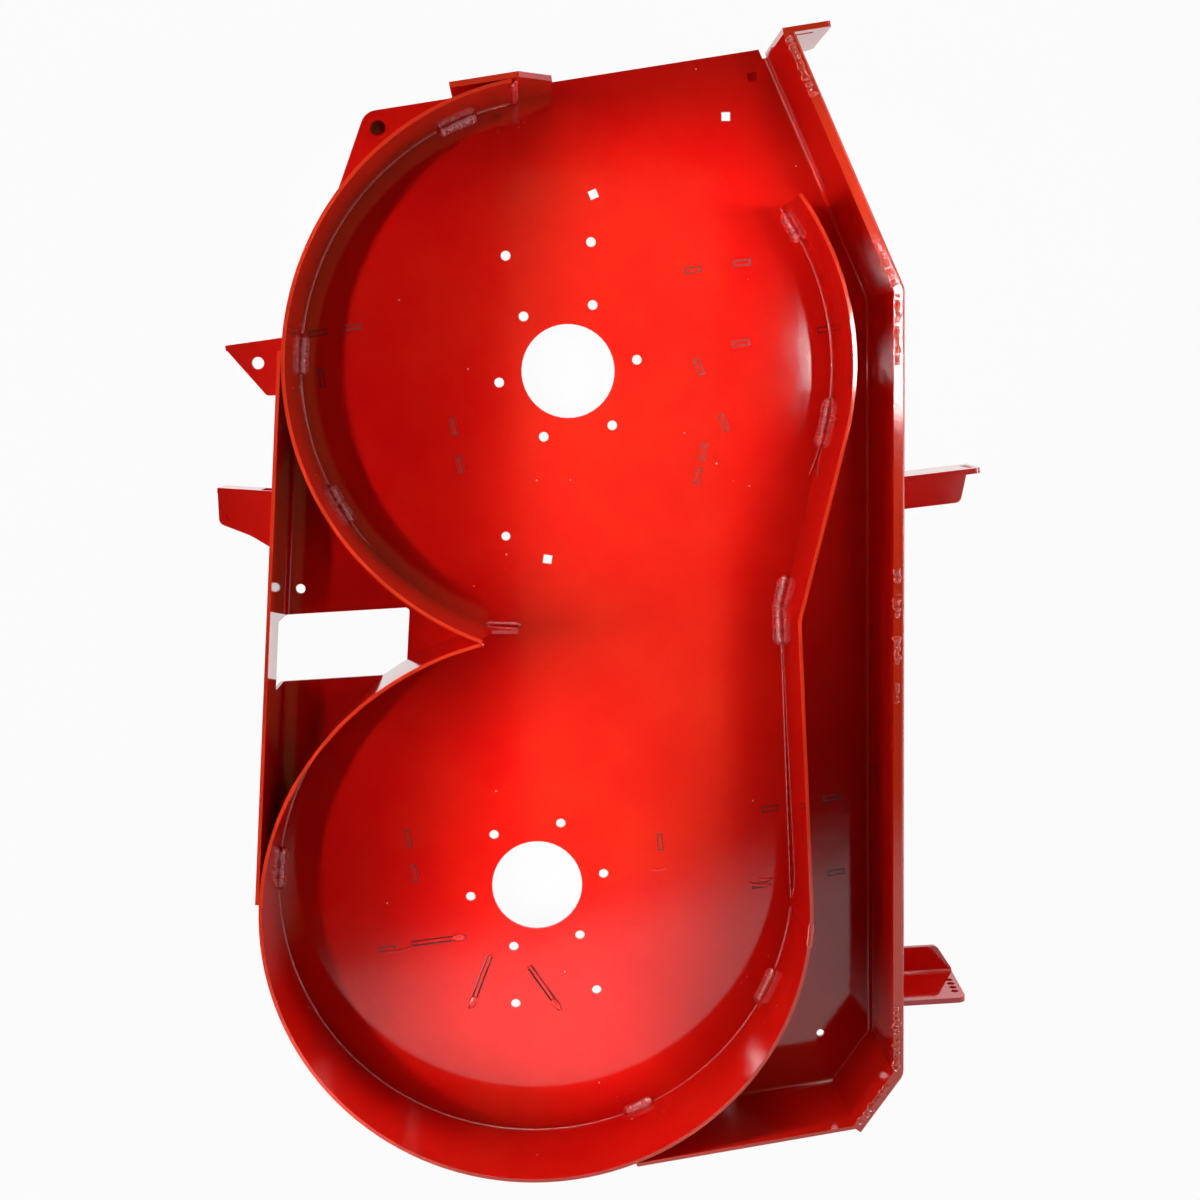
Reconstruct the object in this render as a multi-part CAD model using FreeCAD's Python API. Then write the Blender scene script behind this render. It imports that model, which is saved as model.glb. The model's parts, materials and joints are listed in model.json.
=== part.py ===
import FreeCAD, Part
import math
import os

# Two-blade side-discharge mower deck, lying on its back with the open side up.
# Origin: axis of the right spindle bore, on the chamber face of the deck plate.
# +X points to the front of the mower, +Y to its right (the discharge side),
# +Z out of the open side. All lengths in millimetres, all angles in degrees.

Vector = FreeCAD.Vector
UP = Vector(0, 0, 1)

# Sheet and overall form
SHEET = 3.0                   # thickness of the deck plate and of every wall
WALL_HEIGHT = 98.5            # chamber face of the plate to the open rim
BEND_RADIUS = 3.0             # inside radius where the plate turns into a wall
SPINDLE_SPACING = 457.2       # between the two spindle axes
STAGGER_ANGLE = 4.75          # turn of the spindle line from the front wall
CHAMBER_RADIUS = 229.5        # inside radius of both blade chambers
SIDE_ANGLE = 8.0              # turn of both side edges from the front wall's normal

# Outer walls, all at their inner faces
FRONT_GAP = 30.1              # from the front of the right chamber's circle to the front wall
FRONT_RIGHT_CORNER = 57.7     # corner of the front wall, right of the right spindle
FRONT_LEFT_CORNER = 146.0     # corner of the front wall, left of the left spindle
RIGHT_CHAMFER_ANGLE = 23.6    # from the Y axis
LEFT_CHAMFER_ANGLE = 36.4     # from the Y axis
LEFT_WALL_BITE = 4.9          # how far the left wall cuts into the left chamber's circle
DISCHARGE_MARGIN = 9.0        # from the right chamber's circle to the discharge edge

# Spindle seats
SPINDLE_BORE = 80.5
BOLT_CIRCLE = 120.65
BOLT_COUNT = 6
BOLT_HOLE = 8.3
BOLT_PHASE = 8.2              # first bolt hole of each circle, from +X

# Pairs of guard holes outboard of each spindle
GUARD_HOLE_RADIUS = 111.5
GUARD_HOLE_SPREAD = 19.4
GUARD_HOLE = 8.3

# Other round holes in the plate
BELT_GUIDE_HOLE = 7.6
BELT_GUIDE_PLACE = (-57.5, -141.7)    # from the right spindle
REAR_POCKET_HOLE = 8.2
REAR_POCKET_PLACE = (14.2, 254.8)     # in from the rear wall, along the row from the left spindle
FRONT_POCKET_HOLE = 6.8
FRONT_POCKET_PLACE = (45.9, 147.0)    # in from the front wall, left of the left spindle

# Square holes
SQUARE_HOLE = 7.5
# From the right spindle: x, y and turn from the X axis
SPINDLE_SQUARE_HOLES = [(24.9, 149.3, 22.0), (-21.6, -162.8, -10.0)]
# Along the discharge side, in from its edge, and turn from it
SIDE_SQUARE_HOLES = [(167.5, 50.45, -8.0), (-25.3, 22.85, 0.0), (194.5, 21.55, 0.0)]

# Rear cut-out, from its front right corner
CUTOUT_DEPTH = 109.5          # corner, in from the rear wall
CUTOUT_PLACE = 243.9          # corner, along the row from the left spindle
CUTOUT_HEIGHT = 59.0
CUTOUT_TURN = 2.0
CUTOUT_RISE = 48.0            # how far it runs up the rear wall
CUTOUT_CORNER_RADIUS = 3.5
CUTOUT_MARGIN = 1.3           # kept clear of the left chamber wall

# Chamber walls and baffles: directions seen from their own spindle axis
RIGHT_WALL_START = 100.4
LEFT_WALL_END = 354.5
BAFFLE_END_ANGLE = 36.0
FRONT_CUSP_SETBACK = 29.95    # front cusp, behind the foremost line of the chamber walls
FRONT_CUSP_SHIFT = 34.7       # front cusp, from the middle of the row to the right

# Where the two chamber walls leave their circles to meet at the rear cusp, and where
# the middle of each ends: short of the middle of the row, and behind the row
RIGHT_EASE_ANGLE = 222.0
RIGHT_CUSP = (2.7, 59.5)
LEFT_EASE_ANGLE = 147.0
LEFT_CUSP = (0.0, 60.2)

# Tongue on the plate in front of the rear cusp, square to the spindle line
TONGUE_LENGTH = 29.0
TONGUE_END_HEIGHT = 26.5
TONGUE_ROOT_HEIGHT = 38.0
TONGUE_ROOT = 5.5
TONGUE_TOP = 80.0
TONGUE_RADIUS = 6.0
TONGUE_TIP_RADIUS = 1.5

# Nose bar along the front rim
NOSE_BAR = 6.35
NOSE_BAR_DEPTH = 31.75
NOSE_BAR_BEND = 14.0
NOSE_BAR_EDGE = 2.4

# Ear and pivot bushing
EAR_RADIUS = 14.8
EAR_SETBACK = 125.9           # behind the right spindle, along the discharge side
BUSHING_DIAMETER = 19.05
BUSHING_BORE = 13.1
BUSHING_PROUD = 1.5
BUSHING_LENGTH = 34.0
BUSHING_FLOOR = 4.0

# Brackets
BRACKET = 4.55                # thickness of every bracket
CHUTE_SETBACK = 3.4           # chute bracket, inside the discharge edge
STOP_START = -59.0            # discharge stop, along the side from the right spindle
STOP_SHOULDER = -3.5          # where its rim starts to slope
STOP_END = 23.5
STOP_END_HEIGHT = 57.0
CHUTE_BRACKET_LENGTH = 39.0
CHUTE_BRACKET_DROP = 9.0
CHUTE_BRACKET_RADIUS = 3.0
CHUTE_SLOT_LENGTH = 16.0
CHUTE_SLOT_WIDTH = 5.0
CHUTE_SLOT_RADIUS = 2.45
CHUTE_SLOT_DEPTH = 14.0       # below the rim
CHUTE_SLOT_INSET = 9.5        # slot centre, from the wall
FRONT_HANGER_TOP = 92.0
FRONT_HANGER_LEAF = 73.0
FRONT_HANGER_HOLE = 6.6
FRONT_HANGER_PITCH = 9.4
FRONT_HANGER_HOLES = 4
FRONT_HANGER_FIRST_HOLE = 28.5
FRONT_HANGER_HOLE_EDGE = 6.8
FRONT_HANGER_NOTCH_GAP = 1.0  # below the nose bar
FRONT_HANGER_RADIUS = 8.0
FRONT_HANGER_FLANGE_RADIUS = 6.0
# Left of its own spindle, turn, reach at the top and at the foot, flange and its slant
FRONT_HANGER_RIGHT = (93.4, 5.5, 71.5, 76.5, 33.0, 8.0)
FRONT_HANGER_LEFT = (89.8, 1.5, 61.5, 65.8, 27.8, 13.0)
REAR_HANGER_DEPTH = 40.0
REAR_HANGER_SINK = 1.5        # below the rim
# Corners of the rear hangers: out from the rear wall, along the row from the right spindle, radius
REAR_HANGER_RIGHT = [
    (41.6, -1.3, 1.0), (-8.8, -11.7, 0.0), (-12.6, 34.6, 0.0), (7.1, 36.2, 4.0), (41.3, 1.4, 1.0),
]
REAR_HANGER_LEFT = [
    (43.7, 112.5, 1.0), (-4.0, 112.6, 0.0), (-8.1, 162.2, 0.0), (15.0, 149.9, 40.0), (41.1, 141.4, 6.0),
]
# Their holes, the same way, with the diameter last
REAR_HANGER_RIGHT_HOLE = (15.1, 10.8, 9.8)
REAR_HANGER_LEFT_HOLE = (32.5, 134.6, 7.2)
REAR_HANGER_RIGHT_WEB = 60.0
REAR_HANGER_LEFT_WEB = 34.0

# Angle that stiffens the discharge edge, on the belt side
EDGE_ANGLE_LEG = 32.0
EDGE_ANGLE_START = -46.0
EDGE_ANGLE_GAP = 4.0          # between its front end and the chute bracket
EDGE_ANGLE_INSET = 2.0
EDGE_ANGLE_ROOT_RADIUS = 2.0
EDGE_ANGLE_TOE_RADIUS = 1.5

# Upright ribs on the belt side, each held by tabs in slots of the plate
RIB = 3.4
RIB_HEIGHT = 36.0
RIB_MARGIN = 12.0             # beyond its outer tabs
RIB_REAR_MARGIN = 6.0
RIB_STRUT_MARGIN = 2.0
RIB_CORNER = 9.0
TAB_LENGTH = 13.4
TAB_CLEARANCE = 0.35
LONG_TAB_RECESS = 1.0
# Ribs with two tabs: x and y of the first and of the second tab
RIBS_FROM_RIGHT_SPINDLE = {
    "rib_front_right_outer": (109.5, 84.2, 151.9, 89.4),
    "idler_rib_long": (113.6, 1.3, 134.8, -47.4),
    "idler_rib_short": (116.1, -72.2, 111.4, -93.0),
    "rib_right_cross": (-100.2, -45.9, -95.5, -78.0),
}
RIBS_FROM_LEFT_SPINDLE = {
    "rib_left_cross": (-113.7, 46.8, -109.1, 14.2),
}
RIBS_FROM_FRONT_WALL_RIGHT = {
    "rib_front_right_inner": (-112.3, 21.2, -38.1, 31.8),
}
RIBS_FROM_FRONT_WALL_LEFT = {
    "rib_front_left_inner": (-90.4, 63.7, -34.9, 71.9),
    "rib_front_left_outer": (-99.6, -6.4, -31.1, 3.3),
}
RIBS_FROM_REAR_WALL = {
    "rib_rear_right": (19.0, 36.6, 48.2, 40.7),
}
# Struts with one long tab between two points, from the left spindle
STRUTS = {
    "strut_rear": (-113.4, -50.4, -67.0, -45.9),
    "strut_left": (-43.9, -64.0, -62.4, -110.5),
    "strut_right": (-8.7, -75.4, 17.3, -115.2),
}
# Ribs with one tab: x, y and turn from the X axis
REAR_CROSS_RIB = (20.5, -1.7, -82.0)     # from the rear wall
REAR_LEFT_RIB = (-135.9, -54.5, 3.0)     # from the left spindle
LEFT_MIDDLE_RIB = (110.9, 36.0, -86.0)   # from the left spindle

# Derived places
WALL_OUTER = CHAMBER_RADIUS + SHEET
REAR_WALL_OUTER = WALL_OUTER + SHEET
FRONT_WALL_X = WALL_OUTER + FRONT_GAP
LEFT_WALL_OFFSET = WALL_OUTER - LEFT_WALL_BITE
DISCHARGE_EDGE_OFFSET = WALL_OUTER + DISCHARGE_MARGIN
BELT_FACE = -SHEET
OVERRUN = 1.0                 # of every cutter past the faces that it cuts


def unit(angle):
    """Unit vector in the plate's plane."""
    turn = math.radians(angle)
    return Vector(math.cos(turn), math.sin(turn), 0)


def bearing(vector):
    """Direction of a vector of the plate's plane, in degrees."""
    return math.degrees(math.atan2(vector.y, vector.x))


def meet(point, direction, other, other_direction):
    """Where two lines of the plate's plane cross."""
    gap = other - point
    cross = direction.x * other_direction.y - direction.y * other_direction.x
    along = (gap.x * other_direction.y - gap.y * other_direction.x) / cross
    return point + direction * along


def moved(vector, z):
    """The same place at another height."""
    return Vector(vector.x, vector.y, z)


RIGHT_SPINDLE = Vector(0, 0, 0)
ROW = unit(-90 - STAGGER_ANGLE)           # from the right spindle to the left one
LEFT_SPINDLE = RIGHT_SPINDLE + ROW * SPINDLE_SPACING
REARWARD = unit(180 - STAGGER_ANGLE)      # square to the row, to the rear
SIDE = unit(SIDE_ANGLE)                   # along both side edges, to the front
SIDE_OUT = unit(90 + SIDE_ANGLE)          # square to them, to the right
DISCHARGE_POINT = SIDE_OUT * DISCHARGE_EDGE_OFFSET
FRONT_RIGHT = Vector(FRONT_WALL_X, FRONT_RIGHT_CORNER, 0)
FRONT_LEFT = Vector(FRONT_WALL_X, LEFT_SPINDLE.y - FRONT_LEFT_CORNER, 0)
BUSHING_CENTRE = SIDE_OUT * (DISCHARGE_EDGE_OFFSET - EAR_RADIUS) - SIDE * EAR_SETBACK
RIGHT_TIP = ROW * (SPINDLE_SPACING / 2 - RIGHT_CUSP[0]) + REARWARD * RIGHT_CUSP[1]
LEFT_TIP = ROW * (SPINDLE_SPACING / 2 + LEFT_CUSP[0]) + REARWARD * LEFT_CUSP[1]
FRONT_CUSP = ROW * (SPINDLE_SPACING / 2 - FRONT_CUSP_SHIFT) - REARWARD * (WALL_OUTER - FRONT_CUSP_SETBACK)
CUTOUT_CORNER = ROW * (SPINDLE_SPACING - CUTOUT_PLACE) + REARWARD * (REAR_WALL_OUTER - CUTOUT_DEPTH)


def outline(corners):
    """Closed wire through (x, y, radius) corners, each rounded by its radius."""
    edges = []
    joints = []
    count = len(corners)
    for index, (x, y, radius) in enumerate(corners):
        here = Vector(x, y, 0)
        before = Vector(*corners[index - 1][:2], 0)
        after = Vector(*corners[(index + 1) % count][:2], 0)
        back = (before - here).normalize()
        on = (after - here).normalize()
        if radius <= 0:
            joints.append((here, here, None))
            continue
        half = back.getAngle(on) / 2
        reach = radius / math.tan(half)
        middle = (back + on).normalize()
        summit = here + middle * (radius / math.sin(half) - radius)
        joints.append((here + back * reach, here + on * reach, summit))
    for index, (enter, leave, summit) in enumerate(joints):
        if summit is not None:
            edges.append(Part.Arc(enter, summit, leave).toShape())
        following = joints[(index + 1) % count][0]
        if leave.distanceToPoint(following) > 1e-6:
            edges.append(Part.LineSegment(leave, following).toShape())
    return Part.Wire(edges)


def prism(corners, bottom, top):
    """Upright solid over an outline of (x, y, radius) corners."""
    face = Part.Face(outline(corners))
    face.translate(Vector(0, 0, bottom))
    return face.extrude(Vector(0, 0, top - bottom))


def plain(points):
    """Sharp corners for outline() out of vectors."""
    return [(point.x, point.y, 0) for point in points]


def placed(shape, origin, along, across):
    """Carry a shape drawn in local axes to an origin, with +X along and +Y across."""
    normal = along.cross(across)
    matrix = FreeCAD.Matrix(
        along.x, across.x, normal.x, origin.x,
        along.y, across.y, normal.y, origin.y,
        along.z, across.z, normal.z, origin.z,
        0, 0, 0, 1,
    )
    copy = shape.copy()
    copy.Placement = FreeCAD.Placement(matrix).multiply(shape.Placement)
    return copy


def disc(centre, radius, bottom, top):
    """Upright cylinder."""
    return Part.makeCylinder(radius, top - bottom, moved(centre, bottom), UP)


def wall_lines(offset):
    """The front chain of walls as (point, direction), moved outward by an offset."""
    right_chamfer = unit(-90 + RIGHT_CHAMFER_ANGLE)
    left_chamfer = unit(-90 - LEFT_CHAMFER_ANGLE)
    left_side = unit(180 + SIDE_ANGLE)
    left_point = LEFT_SPINDLE - SIDE_OUT * LEFT_WALL_OFFSET
    chain = [
        (FRONT_RIGHT, right_chamfer),
        (FRONT_RIGHT, unit(-90)),
        (FRONT_LEFT, left_chamfer),
        (left_point, left_side),
    ]
    return [(point + UP.cross(direction) * offset, direction) for point, direction in chain]


def chain_corners(offset):
    """Corners of the front chain of walls at an offset from their inner faces."""
    lines = wall_lines(offset)
    end_point = SIDE_OUT * (DISCHARGE_EDGE_OFFSET - CHUTE_SETBACK - BRACKET)
    left_turn = math.degrees(math.acos(LEFT_WALL_OFFSET / WALL_OUTER))
    ring_end = unit(-90 + SIDE_ANGLE + left_turn)
    corners = [meet(end_point, SIDE, *lines[0])]
    for first, second in zip(lines, lines[1:]):
        corners.append(meet(*first, *second))
    corners.append(meet(LEFT_SPINDLE, ring_end, *lines[-1]))
    return corners


def bent_section():
    """Section of a plate bent up into a wall: +X outward, +Y up, wall face at x = 0."""
    inner = BEND_RADIUS
    outer = BEND_RADIUS + SHEET
    centre = Vector(-inner, inner, 0)
    slant = unit(-45)
    edges = [
        Part.LineSegment(Vector(-inner, 0, 0), Vector(-inner, -SHEET, 0)).toShape(),
        Part.Arc(Vector(-inner, -SHEET, 0), centre + slant * outer, Vector(SHEET, inner, 0)).toShape(),
        Part.LineSegment(Vector(SHEET, inner, 0), Vector(SHEET, WALL_HEIGHT, 0)).toShape(),
        Part.LineSegment(Vector(SHEET, WALL_HEIGHT, 0), Vector(0, WALL_HEIGHT, 0)).toShape(),
        Part.LineSegment(Vector(0, WALL_HEIGHT, 0), Vector(0, inner, 0)).toShape(),
        Part.Arc(Vector(0, inner, 0), centre + slant * inner, Vector(-inner, 0, 0)).toShape(),
    ]
    return Part.Face(Part.Wire(edges))


def bent_wall(inner_start, inner_end, footprint):
    """A wall bent up from the plate between two inner corners, cut to a footprint."""
    run = inner_end - inner_start
    direction = Vector(run.x, run.y, 0).normalize()
    outward = UP.cross(direction)
    spare = 2 * WALL_HEIGHT
    section = placed(bent_section(), inner_start - direction * spare, outward, UP)
    wall = section.extrude(direction * (run.Length + 2 * spare))
    return wall.common(prism(plain(footprint), BELT_FACE - OVERRUN, WALL_HEIGHT + OVERRUN))


def plate_outline():
    """Flat part of the deck plate, up to where its walls start to bend."""
    bend_start = chain_corners(-BEND_RADIUS)
    lip = REAR_WALL_OUTER
    bend_reach = WALL_OUTER - BEND_RADIUS
    ear_gap = BUSHING_CENTRE.Length
    ear_bearing = bearing(BUSHING_CENTRE)
    ear_turn = math.degrees(math.acos((lip - EAR_RADIUS) / ear_gap))
    ear_normal = ear_bearing + ear_turn
    ear_middle = (90 + SIDE_ANGLE + ear_normal) / 2
    rear_normal = 180 - STAGGER_ANGLE
    ring_end = bearing(bend_start[-1] - LEFT_SPINDLE)
    ring_middle = (rear_normal + 360 + ring_end) / 2
    front_end = meet(DISCHARGE_POINT, SIDE, *wall_lines(-BEND_RADIUS)[0])
    ear_start = BUSHING_CENTRE + SIDE_OUT * EAR_RADIUS
    ear_end = BUSHING_CENTRE + unit(ear_normal) * EAR_RADIUS
    lip_start = unit(ear_normal) * lip
    lip_end = REARWARD * lip
    rear_start = REARWARD * bend_reach
    rear_end = LEFT_SPINDLE + REARWARD * bend_reach
    ring_start = LEFT_SPINDLE + REARWARD * lip
    ring_stop = LEFT_SPINDLE + unit(ring_end) * lip
    edges = [
        Part.LineSegment(front_end, ear_start).toShape(),
        Part.Arc(ear_start, BUSHING_CENTRE + unit(ear_middle) * EAR_RADIUS, ear_end).toShape(),
        Part.LineSegment(ear_end, lip_start).toShape(),
        Part.Arc(lip_start, unit((ear_normal + rear_normal) / 2) * lip, lip_end).toShape(),
        Part.LineSegment(lip_end, rear_start).toShape(),
        Part.LineSegment(rear_start, rear_end).toShape(),
        Part.LineSegment(rear_end, ring_start).toShape(),
        Part.Arc(ring_start, LEFT_SPINDLE + unit(ring_middle) * lip, ring_stop).toShape(),
        Part.LineSegment(ring_stop, bend_start[4]).toShape(),
        Part.LineSegment(bend_start[4], bend_start[3]).toShape(),
        Part.LineSegment(bend_start[3], bend_start[2]).toShape(),
        Part.LineSegment(bend_start[2], bend_start[1]).toShape(),
        Part.LineSegment(bend_start[1], front_end).toShape(),
    ]
    return Part.Wire(edges)


def round_holes():
    """Round holes of the plate as (centre, diameter)."""
    holes = [(BUSHING_CENTRE, BUSHING_DIAMETER)]
    for centre, side in ((RIGHT_SPINDLE, 90), (LEFT_SPINDLE, -90)):
        holes.append((centre, SPINDLE_BORE))
        for index in range(BOLT_COUNT):
            angle = BOLT_PHASE + index * 360 / BOLT_COUNT
            holes.append((centre + unit(angle) * (BOLT_CIRCLE / 2), BOLT_HOLE))
        for spread in (-GUARD_HOLE_SPREAD, GUARD_HOLE_SPREAD):
            direction = unit(side + SIDE_ANGLE + spread)
            holes.append((centre + direction * GUARD_HOLE_RADIUS, GUARD_HOLE))
    inset, along = REAR_POCKET_PLACE
    rear_pocket = ROW * (SPINDLE_SPACING - along) + REARWARD * (REAR_WALL_OUTER - inset)
    behind, leftward = FRONT_POCKET_PLACE
    front_pocket = Vector(FRONT_WALL_X - behind, LEFT_SPINDLE.y - leftward, 0)
    holes.append((RIGHT_SPINDLE + Vector(*BELT_GUIDE_PLACE, 0), BELT_GUIDE_HOLE))
    holes.append((rear_pocket, REAR_POCKET_HOLE))
    holes.append((front_pocket, FRONT_POCKET_HOLE))
    return holes


def plate_holes():
    """Every drilled or punched hole of the plate as one list of cutters."""
    low = BELT_FACE - OVERRUN
    cutters = [disc(centre, diameter / 2, low, OVERRUN) for centre, diameter in round_holes()]
    half = SQUARE_HOLE / 2
    square = prism([(-half, -half, 0), (half, -half, 0), (half, half, 0), (-half, half, 0)], low, OVERRUN)
    for x, y, turn in SPINDLE_SQUARE_HOLES:
        cutters.append(placed(square, RIGHT_SPINDLE + Vector(x, y, 0), unit(turn), unit(turn + 90)))
    for along, inset, turn in SIDE_SQUARE_HOLES:
        centre = SIDE * along + SIDE_OUT * (DISCHARGE_EDGE_OFFSET - inset)
        turn += SIDE_ANGLE
        cutters.append(placed(square, centre, unit(turn), unit(turn + 90)))
    return cutters


def rear_cutout():
    """Cut-out of the plate that runs on up the rear wall, clear of the left chamber."""
    reach = 2 * REAR_WALL_OUTER
    depth = CUTOUT_RISE - 2 * BELT_FACE
    radius = CUTOUT_CORNER_RADIUS
    back = unit(180 + CUTOUT_TURN)
    first = CUTOUT_CORNER
    second = first + ROW * CUTOUT_HEIGHT
    far = [second + back * reach, first + back * reach]
    flat = [(first.x, first.y, radius), (second.x, second.y, radius), *plain(far)]
    through = prism(flat, 2 * BELT_FACE, CUTOUT_RISE)
    half = CUTOUT_HEIGHT * abs(ROW.dot(UP.cross(back))) / 2
    tall = [(-half, -depth, 0), (half, -depth, 0), (half, 0, radius), (-half, 0, radius)]
    arch = placed(prism(tall, -reach, reach), moved((first + second) * 0.5, CUTOUT_RISE), UP.cross(back), UP)
    kept = disc(LEFT_SPINDLE, WALL_OUTER + CUTOUT_MARGIN, 3 * BELT_FACE, WALL_HEIGHT)
    return through.common(arch).cut(kept)


class Rib:
    """Upright rib on the belt side, with tabs let into slots of the plate."""

    def __init__(self, name, first, last=None, turn=SIDE_ANGLE, tab=TAB_LENGTH, recess=0.0, margin=0.0):
        self.name = name
        end = first if last is None else last
        half_pitch = (end - first).Length / 2
        self.centre = (first + end) * 0.5
        self.along = unit(turn) if last is None else (end - first).normalize()
        self.across = UP.cross(self.along)
        self.tabs = [0.0] if last is None else [-half_pitch, half_pitch]
        self.tab = tab
        self.recess = recess
        self.half_length = max(self.tabs) + tab / 2 + margin

    def block(self, centre, half_length, half_width, bottom, top):
        """Box in the rib's own axes, carried to its place."""
        box = Part.makeBox(2 * half_length, 2 * half_width, top - bottom)
        box.translate(Vector(centre - half_length, -half_width, bottom))
        return placed(box, self.centre, self.along, self.across)

    def slots(self):
        """Cutters for the slots, wider than the tabs by the clearance."""
        half_tab = self.tab / 2 + TAB_CLEARANCE
        half_width = RIB / 2 + TAB_CLEARANCE
        return [self.block(tab, half_tab, half_width, BELT_FACE - OVERRUN, OVERRUN) for tab in self.tabs]

    def solid(self):
        """Rib with its two free corners rounded and its tabs flush in the plate."""
        reach = self.half_length
        corners = [
            (-reach, 0, 0),
            (reach, 0, 0),
            (reach, -RIB_HEIGHT, RIB_CORNER),
            (-reach, -RIB_HEIGHT, RIB_CORNER),
        ]
        upright = prism(corners, -RIB / 2, RIB / 2)
        foot = moved(self.centre, BELT_FACE)
        rib = placed(upright, foot, self.along, UP)
        for tab in self.tabs:
            rib = rib.fuse(self.block(tab, self.tab / 2, RIB / 2, BELT_FACE, -self.recess))
        return rib.removeSplitter()


def all_ribs():
    """Every rib and strut, each measured from its own spindle or wall."""
    front_right = Vector(FRONT_WALL_X, 0, 0)
    front_left = Vector(FRONT_WALL_X, LEFT_SPINDLE.y, 0)
    rear = Vector(-WALL_OUTER, 0, 0)
    tables = [
        (RIGHT_SPINDLE, RIBS_FROM_RIGHT_SPINDLE, RIB_MARGIN),
        (LEFT_SPINDLE, RIBS_FROM_LEFT_SPINDLE, RIB_MARGIN),
        (front_right, RIBS_FROM_FRONT_WALL_RIGHT, RIB_MARGIN),
        (front_left, RIBS_FROM_FRONT_WALL_LEFT, RIB_MARGIN),
        (rear, RIBS_FROM_REAR_WALL, RIB_REAR_MARGIN),
    ]
    ribs = []
    for anchor, table, margin in tables:
        for name, (x, y, next_x, next_y) in table.items():
            first = anchor + Vector(x, y, 0)
            last = anchor + Vector(next_x, next_y, 0)
            ribs.append(Rib(name, first, last, margin=margin))
    singles = [
        ("rib_rear_right_cross", rear, REAR_CROSS_RIB, RIB_MARGIN),
        ("rib_rear_left", LEFT_SPINDLE, REAR_LEFT_RIB, RIB_REAR_MARGIN),
        ("rib_left_middle", LEFT_SPINDLE, LEFT_MIDDLE_RIB, RIB_MARGIN),
    ]
    for name, anchor, (x, y, turn), margin in singles:
        ribs.append(Rib(name, anchor + Vector(x, y, 0), turn=turn, margin=margin))
    for name, (x, y, next_x, next_y) in STRUTS.items():
        run = Vector(next_x - x, next_y - y, 0)
        middle = LEFT_SPINDLE + Vector(x, y, 0) + run * 0.5
        ribs.append(Rib(
            name, middle, turn=bearing(run), tab=run.Length, recess=LONG_TAB_RECESS, margin=RIB_STRUT_MARGIN,
        ))
    return ribs


RIBS = all_ribs()


def deck_shell():
    """Deck plate with its bent rear, front and left walls, holes and slots."""
    face = Part.Face(plate_outline())
    shell = face.extrude(Vector(0, 0, BELT_FACE))
    inner = chain_corners(0)
    bend = chain_corners(-BEND_RADIUS)
    outer = chain_corners(SHEET)
    walls = []
    for index in range(4):
        footprint = [bend[index], bend[index + 1], outer[index + 1], outer[index]]
        walls.append(bent_wall(inner[index], inner[index + 1], footprint))
    inner_ends = (LEFT_SPINDLE + REARWARD * WALL_OUTER, REARWARD * WALL_OUTER)
    bend_reach = REARWARD * (WALL_OUTER - BEND_RADIUS)
    outer_reach = REARWARD * REAR_WALL_OUTER
    footprint = [bend_reach, LEFT_SPINDLE + bend_reach, LEFT_SPINDLE + outer_reach, outer_reach]
    walls.append(bent_wall(*inner_ends, footprint))
    shell = shell.fuse(walls).removeSplitter()
    slots = [slot for rib in RIBS for slot in rib.slots()]
    return shell.cut(plate_holes() + slots + [rear_cutout()])


def upright(outer, inner):
    """Full-height strip between an outer and an inner line of three points each."""
    edges = [
        Part.Arc(*outer).toShape(),
        Part.LineSegment(outer[2], inner[2]).toShape(),
        Part.Arc(*reversed(inner)).toShape(),
        Part.LineSegment(inner[0], outer[0]).toShape(),
    ]
    return Part.Face(Part.Wire(edges)).extrude(Vector(0, 0, WALL_HEIGHT))


def curved_wall(centre, start, end, swell=0.0):
    """Strip bent round a centre; swell makes its radius larger than the chamber's."""
    angles = (start, (start + end) / 2, end)
    outer = [centre + unit(angle) * (WALL_OUTER + swell) for angle in angles]
    inner = [centre + unit(angle) * (CHAMBER_RADIUS + swell) for angle in angles]
    return upright(outer, inner)


def ease_centre(spindle, touch, tip):
    """Centre of the arc that leaves a chamber wall's circle at an angle and runs to a tip."""
    radius = CHAMBER_RADIUS + SHEET / 2
    gap = tip - spindle
    drop = radius - gap.dot(unit(touch))
    swell = (gap.Length ** 2 - radius ** 2) / (2 * drop)
    return spindle - unit(touch) * swell


def eased_wall(spindle, touch, tip):
    """Run of a chamber wall that leaves its circle at an angle and ends at a tip."""
    centre = ease_centre(spindle, touch, tip)
    swell = (tip - centre).Length - (CHAMBER_RADIUS + SHEET / 2)
    tip_angle = bearing(tip - centre)
    tip_angle += 360 * round((touch - tip_angle) / 360)
    return curved_wall(centre, touch, tip_angle, swell)


def tailed_wall(centre, start, end, tip):
    """Curved strip with a straight run from its start to a tip of two points."""
    angles = (start, (start + end) / 2, end)
    outer = [centre + unit(angle) * WALL_OUTER for angle in angles]
    inner = [centre + unit(angle) * CHAMBER_RADIUS for angle in angles]
    edges = [
        Part.Arc(*outer).toShape(),
        Part.LineSegment(outer[2], inner[2]).toShape(),
        Part.Arc(*reversed(inner)).toShape(),
        Part.LineSegment(inner[0], tip[1]).toShape(),
        Part.LineSegment(tip[1], tip[0]).toShape(),
        Part.LineSegment(tip[0], outer[0]).toShape(),
    ]
    return Part.Face(Part.Wire(edges)).extrude(Vector(0, 0, WALL_HEIGHT))


def tangent_bearing(centre, point, turn):
    """Where the tangent from a point touches a chamber's outside, on one side."""
    gap = point - centre
    return bearing(gap) + turn * math.degrees(math.acos(WALL_OUTER / gap.Length))


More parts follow.
